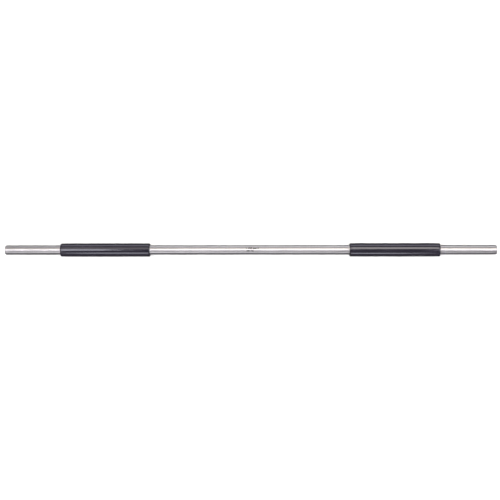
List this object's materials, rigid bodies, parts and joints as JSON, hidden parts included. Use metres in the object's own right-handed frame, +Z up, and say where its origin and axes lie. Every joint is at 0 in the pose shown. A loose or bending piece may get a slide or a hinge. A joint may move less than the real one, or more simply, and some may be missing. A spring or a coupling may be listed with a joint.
{
  "type": "micrometer setting rod",
  "caption": "Straight round steel length standard with flat lapped end faces and black insulating sleeves over its support points.",
  "frame": {"origin": "on the bar's axis, half way between the two measuring faces", "axes": "+X along the bar towards the right-hand measuring face, +Z up, with the etched size mark on the upper side"},
  "size_m": [0.5, 0.0136, 0.0136],
  "materials": {
    "ground_steel": "hardened, ground round the axis and polished; end faces lapped",
    "black_rubber": "semi-gloss extruded sleeve"
  },
  "bodies": {
    "root": {"measuring_bar": "ground_steel", "left_grip_sleeve": "black_rubber", "right_grip_sleeve": "black_rubber"}
  },
  "joints": []
}
